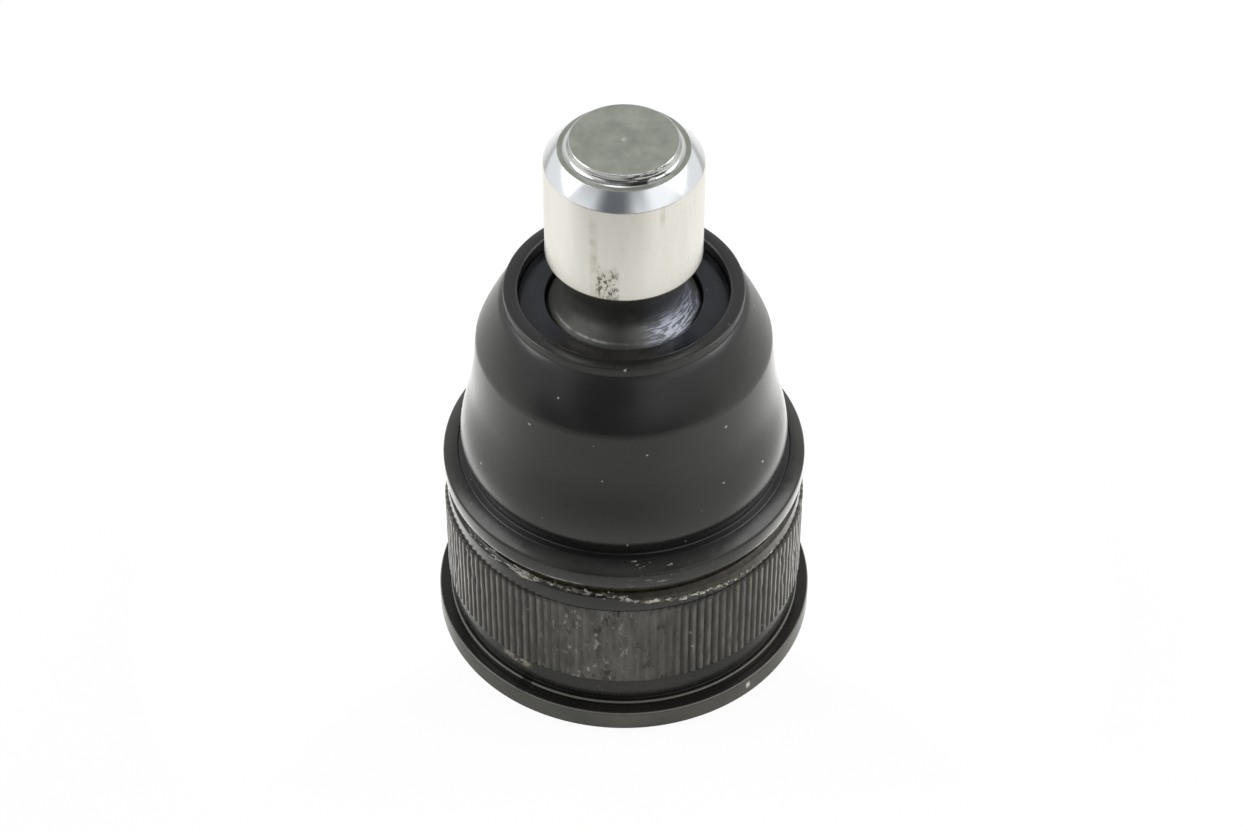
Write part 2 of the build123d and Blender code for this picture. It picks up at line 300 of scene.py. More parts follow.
def piece(name, bm, material, sharp_deg=SHARP_DEG):
    """A smooth-shaded object from a bmesh in millimetres, facing outwards."""
    bmesh.ops.remove_doubles(bm, verts=bm.verts, dist=0.0005)
    bmesh.ops.recalc_face_normals(bm, faces=bm.faces)
    bmesh.ops.scale(bm, vec=(MM, MM, MM), verts=bm.verts)
    mesh = bpy.data.meshes.new(name)
    bm.to_mesh(mesh)
    bm.free()
    mesh.shade_smooth()
    mesh.set_sharp_from_angle(angle=math.radians(sharp_deg))
    mesh.materials.append(material)
    made = bpy.data.objects.new(name, mesh)
    bpy.context.scene.collection.objects.link(made)
    return made


def turned(name, moves, material, closed=True):
    """A piece turned about the Z axis from its half section."""
    bm = bmesh.new()
    draw_profile(bm, moves, closed)
    bmesh.ops.spin(
        bm,
        geom=bm.verts[:] + bm.edges[:],
        cent=(0, 0, 0),
        axis=(0, 0, 1),
        angle=2 * math.pi,
        steps=STEPS,
        use_merge=True,
    )
    return piece(name, bm, material)


def rides(made, body, slot, *nodes):
    """The piece moves with a body and stands for CAD nodes, which it hides; the slot is not used."""
    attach(made, body)
    if nodes:
        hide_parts(*nodes)
    return made


# Finishes


def cover_coat():
    """Cathodic dip coat on pressed sheet: a thin, fairly dull black film that shows the sheet's grain."""
    material, tree, shader, place = surface("dip_coated_cover")
    cloud = add(tree, "TexNoise", {"Vector": place, "Scale": per(7), "Detail": 4})
    tint = add(tree, "ValToRGB", {"Fac": cloud}, [(0.35, "#2A2B29"), (0.7, "#3A3A36")])
    grain = add(tree, "TexNoise", {"Vector": place, "Scale": per(0.35), "Detail": 3, "Roughness": 0.6})
    gloss = add(tree, "MapRange", {"Value": grain, **MIDDLE, "To Min": 0.34, "To Max": 0.48})
    dress(tree, shader, tint, gloss, grain, 0.002)
    return material


def scraped_line(tree, place):
    """How far a point lies above the ragged line where the press scraped the coat off the land's front."""
    axes = add(tree, "SeparateXYZ", {"Vector": place})
    drop_over = {"From Min": SCRAPE_DROP_FROM * MM, "From Max": SCRAPE_DROP_TO * MM}
    drop_by = {"To Min": SCRAPE_HIGH * MM, "To Max": SCRAPE_LOW * MM}
    sink_over = {"From Min": SCRAPE_DROP_TO * MM, "From Max": SCRAPE_END * MM}
    sink_by = {"To Min": 0, "To Max": SCRAPE_SINK * (SCRAPE_END - SCRAPE_DROP_TO) * MM}
    across = {"Value": axes.outputs["X"]}
    dropped = add(tree, "MapRange", {**across, **drop_over, **drop_by}, interpolation_type="SMOOTHSTEP")
    sunk = add(tree, "MapRange", {**across, **sink_over, **sink_by})
    line = add(tree, "Math", {0: dropped, 1: sunk}, operation="SUBTRACT")
    ragged = add(tree, "TexNoise", {"Vector": place, "Scale": per(1.1), "Detail": 5, "Roughness": 0.7})
    offset = add(tree, "MapRange", {"Value": ragged, "To Min": -0.55 * MM, "To Max": 0.55 * MM})
    above = add(tree, "Math", {0: axes.outputs["Z"], 1: line}, operation="SUBTRACT")
    return add(tree, "Math", {0: above, 1: offset}, operation="SUBTRACT")


def housing_coat():
    """Dip coat on the turned body: dull on the handled rim, scraped to brown steel above the band."""
    material, tree, shader, place = surface("dip_coated_housing", IOR=1.42)
    height = height_of(tree, place)
    cloud = add(tree, "TexNoise", {"Vector": place, "Scale": per(7), "Detail": 4})
    film = add(tree, "ValToRGB", {"Fac": cloud}, [(0.35, "#161614"), (0.7, "#211F1D")])
    handled = add(tree, "ValToRGB", {"Fac": cloud}, [(0.3, "#3F3F3B"), (0.7, "#52514B")])
    rim = between(tree, height, -1, 2.75, 0.1)
    coat = add(tree, "MixRGB", {"Fac": rim, "Color1": film, "Color2": handled})
    # Scraped land: brown steel above the line, pale torn film along it
    above = scraped_line(tree, place)
    land = times(tree, towards(tree, place, 18, 44, 62), between(tree, height, 19, 22.9, 0.1))
    bare = times(tree, land, between(tree, above, 0.1, 3, 0.08))
    torn = times(tree, land, between(tree, above, -0.1, 0.12, 0.05))
    mottle = add(tree, "TexNoise", {"Vector": place, "Scale": per(0.6), "Detail": 4, "Roughness": 0.7})
    brown = add(tree, "ValToRGB", {"Fac": mottle}, [(0.35, "#15130E"), (0.7, "#3D3728")])
    patchy = add(tree, "MapRange", {"Value": mottle, "From Min": 0.45, "From Max": 0.55})
    # Edges of the flange and its bead, painted lighter as rubbed wear and as a painted highlight line,
    # scratches on the land's upper edge, and single marks
    flange_edge_rub_and_highlight = between(tree, height, 2.82, 2.96, 0.02)
    bead_edge_rub_and_highlight = between(tree, height, 3.28, 3.47, 0.02)
    edges = add(tree, "Math", {0: flange_edge_rub_and_highlight, 1: bead_edge_rub_and_highlight}, operation="MAXIMUM")
    upper_left = times(tree, towards(tree, place, -44, 12, 20), between(tree, height, 21.5, 22.3, 0.1))
    scored = times(tree, upper_left, scratches(tree, place, 0.16, 0.56))
    smear = times(tree, towards(tree, place, -37, 3, 6.5), between(tree, height, 5.9, 6.8, 0.25), patchy)
    nick = times(tree, towards(tree, place, 40.9, 0.2, 1), between(tree, height, 1.5, 2.2, 0.3))
    dent = times(tree, towards(tree, place, -33, 1.2, 2.4), between(tree, height, 3, 4.6, 0.3))
    colour = layered(
        tree,
        coat,
        (bare, brown),
        (times(tree, torn, patchy), "#7D796D"),
        # painted highlight and wear: the flange and bead edges are painted lighter
        (times(tree, edges, 0.7), "#77766F"),
        (scored, "#A7A59D"),
        (smear, "#8D8976"),
        (dent, "#0E0E0C"),
        (nick, "#DAD9D2"),
        (specks(tree, place, 2.6, 0.4, 0.16), "#77766F"),
    )
    # Gloss: satin film, duller where it is handled or scraped
    grain = add(tree, "TexNoise", {"Vector": place, "Scale": per(1.1), "Detail": 3, "Roughness": 0.5})
    satin = add(tree, "MapRange", {"Value": grain, **MIDDLE, "To Min": 0.2, "To Max": 0.3})
    dull = add(tree, "Math", {0: rim, 1: bare}, operation="MAXIMUM")
    gloss = add(tree, "MixRGB", {"Fac": dull, "Color1": satin, "Color2": (0.4, 0.4, 0.4, 1)})
    raised = add(tree, "Math", {0: torn, 1: 12, 2: grain}, operation="MULTIPLY_ADD")
    relief = add(tree, "Math", {0: dent, 1: -40, 2: raised}, operation="MULTIPLY_ADD")
    dress(tree, shader, colour, gloss, relief, 0.001)
    return material


def band_coat():
    """Dip coat on the teeth: rubbed grey on the crests, black in the valleys, gouged in front."""
    material, tree, shader, place = surface("dip_coated_serration", IOR=1.42)
    radius = distance_from_axis(tree, place)
    crest = between(tree, radius, VALLEY_R + 0.18, 30, 0.08)
    streaks = add(tree, "Mapping", {"Vector": place, "Scale": (1, 1, 0.22)})
    rub = add(tree, "TexNoise", {"Vector": streaks, "Scale": per(0.9), "Detail": 5, "Roughness": 0.65})
    worn = add(tree, "ValToRGB", {"Fac": rub}, [(0.35, "#3C3B37"), (0.68, "#64625B")])
    valley = add(tree, "ValToRGB", {"Fac": rub}, [(0.3, "#262521"), (0.7, "#35332E")])
    flattened = times(tree, towards(tree, place, -5, 9, 26), 0.7)
    shown = add(tree, "Math", {0: crest, 1: flattened}, operation="MAXIMUM")
    # Upright scuffs: pale ones left of the front, dark gouges across it, and a few nicks further round
    pale = times(tree, scuffs(tree, place, 1, 0.59), towards(tree, place, -12, 6, 20))
    few = times(tree, specks(tree, place, 2.2, 0.5, 0.25), towards(tree, place, 0, 40, 60))
    dark = times(tree, scuffs(tree, place, 1.5, 0.59), towards(tree, place, 2, 14, 34))
    nicks = add(tree, "Math", {0: pale, 1: few}, operation="MAXIMUM")
    colour = layered(tree, valley, (shown, worn), (nicks, "#86847C"), (dark, "#171713"))
    grain = add(tree, "TexNoise", {"Vector": place, "Scale": per(0.3), "Detail": 3, "Roughness": 0.65})
    gloss = add(tree, "MapRange", {"Value": rub, **MIDDLE, "To Min": 0.42, "To Max": 0.32})
    gouged = add(tree, "Math", {0: dark, 1: -5, 2: grain}, operation="MULTIPLY_ADD")
    dress(tree, shader, colour, gloss, gouged, 0.005)
    return material


def ring_coat():
    """Dip coat on pressed sheet: satin black, with painted shade on its inner part, and rubbed to pale
    steel along the lower edge, which at left and right is also a painted highlight.
    """
    material, tree, shader, place = surface("dip_coated_ring", IOR=1.42)
    _, foot, top = girth("boot_retainer_ring")
    height = height_of(tree, place)
    cloud = add(tree, "TexNoise", {"Vector": place, "Scale": per(5), "Detail": 4})
    film = add(tree, "ValToRGB", {"Fac": cloud}, [(0.35, "#1F1F1D"), (0.7, "#2C2C29")])
    # painted shade: the ring's inner part, under the boot, is painted darker
    shaded = between(tree, distance_from_axis(tree, place), 0, 20.6, 0.4)
    rub = add(tree, "TexNoise", {"Vector": place, "Scale": per(1.8), "Detail": 5, "Roughness": 0.7})
    patchy = add(tree, "MapRange", {"Value": rub, "From Min": 0.36, "From Max": 0.5})
    # painted highlight: the lower edge at left and right is painted pale, as rubbed steel and as the edge's
    # highlight
    left = towards(tree, place, -42, 25, 31)
    right = towards(tree, place, 60, 14, 19)
    sides = add(tree, "Math", {0: left, 1: right}, operation="MAXIMUM")
    edge = times(tree, sides, between(tree, height, foot - 1, foot + 0.3, 0.1), patchy)
    front = times(tree, towards(tree, place, 10, 2, 11), between(tree, height, foot, top, 0.1))
    knocked = times(tree, front, scratches(tree, place, 0.1, 0.61))
    dust = specks(tree, place, 2.4, 0.36, 0.3)
    colour = layered(
        tree,
        film,
        (shaded, "#191918"),
        (edge, "#A5A49F"),
        (knocked, "#B4B2AA"),
        (dust, "#85847D"),
    )
    grain = add(tree, "TexNoise", {"Vector": place, "Scale": per(1.2), "Detail": 3})
    gloss = add(tree, "MapRange", {"Value": grain, **MIDDLE, "To Min": 0.2, "To Max": 0.3})
    dress(tree, shader, colour, gloss, grain, 0.0005)
    return material


def torn_film():
    """Slivers of torn dip coat: pale grey undersides with a little gloss."""
    material, tree, shader, place = surface("torn_dip_coat")
    cloud = add(tree, "TexNoise", {"Vector": place, "Scale": per(0.7), "Detail": 3})
    tint = add(tree, "ValToRGB", {"Fac": cloud}, [(0.45, "#4E4B43"), (0.6, "#C6C3BA")])
    gloss = add(tree, "MapRange", {"Value": cloud, "To Min": 0.3, "To Max": 0.5})
    dress(tree, shader, tint, gloss, cloud, 0.01)
    return material


def spring_steel():
    """Hardened and tempered spring steel: bare grey metal with a fine rolled grain."""
    material, tree, shader, place = surface("tempered_spring_steel", Metallic=1)
    cloud = add(tree, "TexNoise", {"Vector": place, "Scale": per(4), "Detail": 5})
    tint = add(tree, "ValToRGB", {"Fac": cloud}, [(0.3, "#5C6066"), (0.7, "#7E8288")])
    grain = add(tree, "TexNoise", {"Vector": place, "Scale": per(0.25), "Detail": 2})
    gloss = add(tree, "MapRange", {"Value": grain, "To Min": 0.27, "To Max": 0.43})
    dress(tree, shader, tint, gloss, grain, 0.001)
    return material


def moulded_acetal():
    """Natural acetal, injection moulded: off-white and waxy, with faint flow clouds."""
    material, tree, shader, place = surface("moulded_acetal_seat", IOR=1.48)
    cloud = add(tree, "TexNoise", {"Vector": place, "Scale": per(5), "Detail": 3})
    tint = add(tree, "ValToRGB", {"Fac": cloud}, [(0.3, "#DDDACE"), (0.7, "#ECEAE1")])
    grain = add(tree, "TexNoise", {"Vector": place, "Scale": per(0.4), "Detail": 2})
    gloss = add(tree, "MapRange", {"Value": grain, "To Min": 0.34, "To Max": 0.46})
    dress(tree, shader, tint, gloss, grain, 0.002)
    return material


def neck_ring_nylon():
    """Black glass-filled nylon with a smear of grease: blue-black and glossy."""
    material, tree, shader, place = surface("greased_nylon_ring", IOR=1.45)
    cloud = add(tree, "TexNoise", {"Vector": place, "Scale": per(3), "Detail": 4})
    cool = add(tree, "ValToRGB", {"Fac": cloud}, [(0.3, "#0E1016"), (0.7, "#1B202C")])
    plain = add(tree, "ValToRGB", {"Fac": cloud}, [(0.3, "#23211F"), (0.7, "#2E2C2A")])
    front = towards(tree, place, -8, 20, 50)
    tint = add(tree, "MixRGB", {"Fac": front, "Color1": cool, "Color2": plain})
    crumbs = specks(tree, place, 1.1, 0.16, 0.3)
    colour = add(tree, "MixRGB", {"Fac": crumbs, "Color1": tint, "Color2": "#6F6F6C"})
    gloss = add(tree, "MapRange", {"Value": cloud, **MIDDLE, "To Min": 0.2, "To Max": 0.36})
    dress(tree, shader, colour, gloss, cloud, 0.02)
    return material


def moulded_rubber():
    """Chloroprene rubber, compression moulded: satin black with a faint bloom and dust specks."""
    material, tree, shader, place = surface("moulded_chloroprene", IOR=1.5)
    cloud = add(tree, "TexNoise", {"Vector": place, "Scale": per(9), "Detail": 5, "Roughness": 0.55})
    tint = add(tree, "ValToRGB", {"Fac": cloud}, [(0.3, "#151615"), (0.75, "#1E1F1D")])
    dust = specks(tree, place, 2.3, 0.34, 0.5)
    lint = specks(tree, place, 4.1, 0.46, 0.7)
    soiled = add(tree, "Math", {0: dust, 1: lint}, operation="MAXIMUM")
    colour = add(tree, "MixRGB", {"Fac": soiled, "Color1": tint, "Color2": "#9C9C96"})
    grain = add(tree, "TexNoise", {"Vector": place, "Scale": per(0.5), "Detail": 3, "Roughness": 0.6})
    gloss = add(tree, "MapRange", {"Value": cloud, **MIDDLE, "To Min": 0.23, "To Max": 0.32})
    dress(tree, shader, colour, gloss, grain, 0.0012)
    return material


def stud_steel():
    """One forging, finished by zones: ground pin, polished chamfer, sawn end, black oxide below the pin."""
    material, tree, shader, place = surface("forged_steel_stud")
    end, ring, pin_top, pin_foot = stud_levels()
    height = height_of(tree, place)
    radius = distance_from_axis(tree, place)
    # Ground pin: warm white, drawn upright, with a faint brown run on each side and pits left of the front
    drawn = add(tree, "Mapping", {"Vector": place, "Scale": (1, 1, 0.2)})
    soft = add(tree, "TexNoise", {"Vector": drawn, "Scale": per(2.4), "Detail": 3, "Roughness": 0.5})
    pin = add(tree, "ValToRGB", {"Fac": soft}, [(0.3, "#DCDAD2"), (0.7, "#E7E6E0")])
    blot = add(tree, "TexNoise", {"Vector": place, "Scale": per(1.6), "Detail": 4, "Roughness": 0.6})
    stain_patch = add(tree, "MapRange", {"Value": blot, "From Min": 0.38, "From Max": 0.62, "To Min": 0.1})
    left_run = times(tree, towards(tree, place, -22, 0.4, 4), between(tree, height, pin_foot, 68, 2), 0.4)
    right_run = times(tree, towards(tree, place, 28, 0.4, 3), between(tree, height, 67, 70, 1), 0.3)
    stain = times(tree, stain_patch, add(tree, "Math", {0: left_run, 1: right_run}, operation="MAXIMUM"))
    patch = times(tree, between(tree, height, 57.3, 61.4, 1.2), towards(tree, place, -12, 4, 10))
    thick = times(tree, scuffs(tree, place, 0.5, 0.53), patch)
    bloom = times(tree, patch, stain_patch, 0.5)
    few = times(tree, specks(tree, place, 1.7, 0.34, 0.12), between(tree, height, pin_foot + 1, 66, 1))
    pits = add(tree, "Math", {0: thick, 1: few}, operation="MAXIMUM")
    # End: blue-white chamfer, bright cove with dark chatter, dull grey on the flat ring and the end face
    chamfer = between(tree, height, pin_top + 0.05, ring - 0.04, 0.03)
    cove = between(tree, height, ring + 0.02, end, 0.02)
    chatter = times(tree, cove, scratches(tree, place, 0.2, 0.46), towards(tree, place, 25, 14, 32))
    bright = layered(
        tree,
        pin,
        (stain, "#A8977F"),
        (bloom, "#A39A86"),
        (pits, "#6A6152"),
        (chamfer, "#DCDFE2"),
        (cove, "#CFD1CF"),
        (chatter, "#454745"),
    )
    at_ring = between(tree, height, ring - 0.05, ring + 0.04, 0.02)
    at_end = between(tree, height, end - 0.06, end + 1, 0.03)
    flat_ring = times(tree, at_ring, between(tree, radius, 6.8, 7.6, 0.05))
    end_face = times(tree, at_end, between(tree, radius, -1, 6.08, 0.03))
    sawn = add(tree, "Math", {0: flat_ring, 1: end_face}, operation="MAXIMUM")
    blotch = add(tree, "TexNoise", {"Vector": place, "Scale": per(2.6), "Detail": 5, "Roughness": 0.6})
    dull = add(tree, "ValToRGB", {"Fac": blotch}, [(0.32, "#91948B"), (0.68, "#A7AAA1")])
    ended = add(tree, "MixRGB", {"Fac": sawn, "Color1": bright, "Color2": dull})
    # Below the pin: black oxide under a film of grease, wiped in slanting streaks on the right, which also
    # carry a painted reflection and painted highlights
    oxide = between(tree, height, 26.8, pin_foot - 0.05, 0.06)
    cloud = add(tree, "TexNoise", {"Vector": place, "Scale": per(2.5), "Detail": 4})
    black = add(tree, "ValToRGB", {"Fac": cloud}, [(0.3, "#5F605C"), (0.7, "#70716C")])
    right = towards(tree, place, 58, 18, 46)
    grease_haze_and_reflection = times(tree, right, between(tree, height, 48.6, 54, 1.5), 0.4)
    grease_streaks_and_highlights = times(tree, right, scratches(tree, place, 0.14, 0.49), between(tree, height, 48.9, 51.8, 1))
    # painted highlight: a pale line on the seat edge at low left, also read as bare steel
    low_left = times(tree, towards(tree, place, -32, 28, 48), between(tree, height, 49.8, 50, 0.08))
    seat_edge_steel_and_highlight = times(tree, low_left, stain_patch)
    rust_edge = between(tree, height, pin_foot - 0.06, pin_foot + 0.1, 0.04)
    below = layered(tree, black, (grease_haze_and_reflection, "#9499AE"), (grease_streaks_and_highlights, "#D3D7E6"), (seat_edge_steel_and_highlight, "#B4B5B4"))
    colour = layered(tree, ended, (oxide, below), (rust_edge, "#7A715C"))
    # Gloss by the same zones
    lay = add(tree, "MapRange", {"Value": soft, **MIDDLE, "To Min": 0.24, "To Max": 0.34})
    shiny = add(tree, "Math", {0: chamfer, 1: cove}, operation="MAXIMUM")
    polished = add(tree, "MixRGB", {"Fac": shiny, "Color1": lay, "Color2": (0.13, 0.13, 0.13, 1)})
    matte = add(tree, "MixRGB", {"Fac": sawn, "Color1": polished, "Color2": (0.48, 0.48, 0.48, 1)})
    gloss = add(tree, "MixRGB", {"Fac": oxide, "Color1": matte, "Color2": (0.34, 0.34, 0.34, 1)})
    metal = add(tree, "MapRange", {"Value": oxide, "To Min": 1, "To Max": 0.75})
    tree.links.new(metal.outputs[0], shader.inputs["Metallic"])
    grain = add(tree, "TexNoise", {"Vector": place, "Scale": per(0.3), "Detail": 3})
    sunk = add(tree, "Math", {0: pits, 1: -8, 2: grain}, operation="MULTIPLY_ADD")
    relief = add(tree, "Math", {0: grease_streaks_and_highlights, 1: 2, 2: sunk}, operation="MULTIPLY_ADD")
    dress(tree, shader, colour, gloss, relief, 0.004)
    return material


# Camera, table and room


def camera():
    """The photo's own camera, as solved from the part's ellipses."""
    data = bpy.data.cameras.new("photo_camera")
    data.lens = CAMERA_LENS
    data.sensor_width = CAMERA_SENSOR
    made = bpy.data.objects.new("photo_camera", data)
    made.location = Vector(CAMERA_PLACE) * MM
    made.rotation_euler = (math.radians(90 - CAMERA_DOWN_DEG), 0, 0)
    bpy.context.scene.collection.objects.link(made)
    bpy.context.scene.camera = made


def table():
    """A white table with a faint shadow and painted shade in front of the part. It glows beside and behind
    the part and is painted near black past its front edge.
    """
    material = bpy.data.materials.new("white_table")
    material.use_nodes = True
    tree = material.node_tree
    tree.nodes.clear()
    place = add(tree, "TexCoord").outputs["Object"]
    reach = add(tree, "VectorMath", {0: place}, operation="LENGTH").outputs["Value"]
    beyond = between(tree, reach, TABLE_EDGE + TABLE_EDGE_FADE / 2, 2 * TABLE_REACH, TABLE_EDGE_FADE / 2)
    # painted darkness: past its front edge the table is painted near black for the dark room beyond
    painted_dark_past_edge = times(tree, towards(tree, place, FRONT_DEG, *GAP_DEG), beyond)
    nearness = {"From Min": TABLE_DIM_FROM * MM, "From Max": TABLE_DIM_BY * MM}
    dimming = add(tree, "MapRange", {"Value": reach, **nearness}, interpolation_type="SMOOTHSTEP")
    # painted shade: the table's colour is darker in front of the part
    painted_front_shade = times(tree, towards(tree, place, TABLE_DIM_DEG, 15, 65), dimming)
    shade = layered(tree, "#F6F5F2", (painted_front_shade, "#C9C8C5"), (painted_dark_past_edge, (0.015, 0.015, 0.017, 1)))
    paint = add(tree, "BsdfDiffuse", {"Color": shade})
    beside = add(tree, "Math", {0: 1, 1: towards(tree, place, FRONT_DEG, 50, 95)}, operation="SUBTRACT")
    close = add(tree, "MapRange", {"Value": reach, "From Min": PAD_EDGE * MM, "From Max": PAD_FULL * MM})
    pad = add(tree, "Emission", {"Color": (1, 1, 1, 1), "Strength": times(tree, beside, close, PAD_GLOW)})
    lit = add(tree, "AddShader", {0: paint, 1: pad})
    glow = add(tree, "Emission", {"Color": (1, 1, 1, 1), "Strength": 1})
    path = add(tree, "LightPath")
    seen = add(tree, "Math", {0: path.outputs["Is Camera Ray"], 1: TABLE_SEEN_WHITE}, operation="MULTIPLY")
    mix = add(tree, "MixShader", {0: seen, 1: lit, 2: glow})
    add(tree, "OutputMaterial", {"Surface": mix})
    bm = bmesh.new()
    bmesh.ops.create_circle(bm, cap_ends=True, radius=TABLE_REACH * MM, segments=64)
    mesh = bpy.data.meshes.new("table")
    bm.to_mesh(mesh)
    bm.free()
    mesh.materials.append(material)
    made = bpy.data.objects.new("table", mesh)
    bpy.context.scene.collection.objects.link(made)


def softbox(name, place, side, brightness):
    """A square panel lamp aimed at the object, given by the brightness of its face."""
    data = bpy.data.lights.new(name, "AREA")
    data.shape = "SQUARE"
    data.size = side * MM
    data.energy = brightness * math.pi * (side * MM) ** 2
    made = bpy.data.objects.new(name, data)
    made.location = Vector(place) * MM
    aim = Vector((0, 0, 35))
    made.rotation_euler = (Vector(place) - aim).to_track_quat("Z", "Y").to_euler()
    bpy.context.scene.collection.objects.link(made)


def room():
    """A white room, dimmer overhead, with a dark gap past the table's front edge, a figure and a window."""
    world = bpy.data.worlds.new("studio")
    bpy.context.scene.world = world
    world.use_nodes = True
    tree = world.node_tree
    tree.nodes.clear()
    way = add(tree, "TexCoord").outputs["Generated"]
    up = add(tree, "SeparateXYZ", {"Vector": way}).outputs["Z"]
    shades = [(0.0, 1.0), (0.45, 0.95), (0.7, 0.62), (0.85, 0.4), (1.0, 0.3)]
    dome = add(tree, "ValToRGB", {"Fac": up}, shades)
    soft = {"interpolation_type": "SMOOTHSTEP"}
    low = add(tree, "MapRange", {"Value": up, "From Min": 0.13, "From Max": -0.02}, **soft)
    gap = times(tree, towards(tree, way, FRONT_DEG, *GAP_DEG), low)
    crown = add(tree, "MapRange", {"Value": up, "From Min": 0.9, "From Max": 0.75}, **soft)
    figure = times(tree, towards(tree, way, FIGURE_DEG, 6, 34), crown)
    above = add(tree, "MapRange", {"Value": up, "From Min": 0.35, "From Max": 0.45})
    below = add(tree, "MapRange", {"Value": up, "From Min": 0.8, "From Max": 0.72})
    window = times(tree, towards(tree, way, WINDOW_DEG, 16, 38), above, below)
    path = add(tree, "LightPath")
    white = (1, 1, 1, 1)
    seen = layered(
        tree,
        dome,
        (window, (1.25, 1.25, 1.25, 1)),
        (figure, (0.16, 0.165, 0.175, 1)),
        (gap, (0.012, 0.012, 0.014, 1)),
        (path.outputs["Is Camera Ray"], white),
    )
    back = add(tree, "Background", {"Color": seen, "Strength": 1})
    add(tree, "OutputWorld", {"Surface": back})
    # Two panels from the sides and a small one from high behind
    softbox("softbox_left", (-330, 40, 330), 260, 4)
    softbox("softbox_right", (330, 60, 330), 260, 4)
    softbox("softbox_top", (0, 170, 600), 170, 2)


# Pieces


def forged_stud():
    """Ball, taper, seal seat, clamp groove and pin in one turned outline."""
    foot = girth("ball_stud")[1]
    end, ring, pin_top, pin_foot = stud_levels()
    ball_centre = 16.0
    flat_r = 7.38
    flat_to_fillet_deg = 108.55
    neck_r, fillet_r, fillet_z = 6.8, 2.5, 28.4
    fillet_deg = 53.13
    groove_r = 6.95
    groove_foot = 48.925
    groove_mid = (groove_foot + pin_foot) / 2
    taper_top = groove_foot - 4.6
    taper_foot = 33.33
    cove_r = 6.9
    end_r = 6.2
    return turned(
        "forged_stud",
        [
            (0, foot),
            (flat_r, foot, 0.1),
            arc(0, ball_centre, -flat_to_fillet_deg, 40),
            arc(neck_r + fillet_r, fillet_z, fillet_deg, 6),
            (neck_r, taper_foot, 1.2),
            (PIN_R, taper_top, 0.6),
            (PIN_R, groove_foot, 0.12),
            curve((8.0, groove_foot + 1.3), (groove_r, groove_mid - 1.5), (groove_r, groove_mid), 10),
            curve((groove_r, groove_mid + 1.5), (8.0, pin_foot - 1.3), (PIN_R, pin_foot), 10),
            (PIN_R, pin_foot + 0.05),
            (PIN_R, pin_top, 0.1),
            (cove_r + 0.5, ring, 0.08),
            (cove_r, ring, 0.06),
            curve((cove_r - 0.45, ring + 0.05), (end_r + 0.02, ring + 0.25), (end_r, ring + 0.7), 6),
            (end_r, end, 0.12),
            (0.4, end, 0.1),
            (0, end - 0.15),
        ],
        stud_steel(),
        closed=False,
    )


def housing_body():
    """The turned body: flange, relief, lands, spigot, mouth, seat bore and rolled lip."""
    flange_r, foot, top = girth("housing")
    flange_top = foot + 3.0
    bead_top = flange_top + 0.5
    recess = 22.2
    spigot_foot = top - 3.0
    core_r = VALLEY_R - 0.45
    bore_r, bore_foot, bore_top = 15.3, 3.65, 16.0
    cover_r = 17.4
    lip_r = 15.85
    return turned(
        "housing_body_turned",
        [
            (19.1, foot, 0.1),
            (flange_r - 0.35, foot, 0.1),
            (flange_r, foot + 0.35, 0.15),
            (flange_r, flange_top - 0.17, 0.08),
            (flange_r - 0.17, flange_top, 0.08),
            (21.6, flange_top),
            (21.6, bead_top, 0.3),
            (20.95, bead_top, 0.12),
            (20.95, bead_top + 0.5, 0.1),
            (LAND_R, bead_top + 0.95, 0.1),
            (LAND_R, BAND_FOOT, 0.05),
            (core_r, BAND_FOOT),
            (core_r, BAND_TOP),
            (LAND_R, BAND_TOP, 0.05),
            (LAND_R, LAND_TOP, 0.1),
            (LAND_R - 0.5, recess, 0.08),
            (LAND_R - 0.8, recess, 0.05),
            (LAND_R - 0.8, spigot_foot),
            (SPIGOT_R, spigot_foot),
            (SPIGOT_R, top - 1.2),
            (SPIGOT_R + 0.4, top - 0.8),
            (SPIGOT_R + 0.4, top - 0.4, 0.1),
            (SPIGOT_R, top, 0.1),
            (12.916, top, 0.1),
            (12.11, top - 0.65, 0.1),
            curve((14.0, 22.6), (bore_r, 19.4), (bore_r, bore_top), 12),
            (bore_r, bore_foot),
            (cover_r, bore_foot),
            (cover_r, 1.7),
            (cover_r - 0.5, 1.15),
            (lip_r, 1.15, 0.05),
            (lip_r, 0.6, 0.1),
            (lip_r + 0.3, 0.3, 0.1),
            (cover_r, 0.3),
            arc(cover_r, 1.2, -90, 6),
            (18.3, 1.6),
            (19.1, 1.6),
        ],
        housing_coat(),
    )


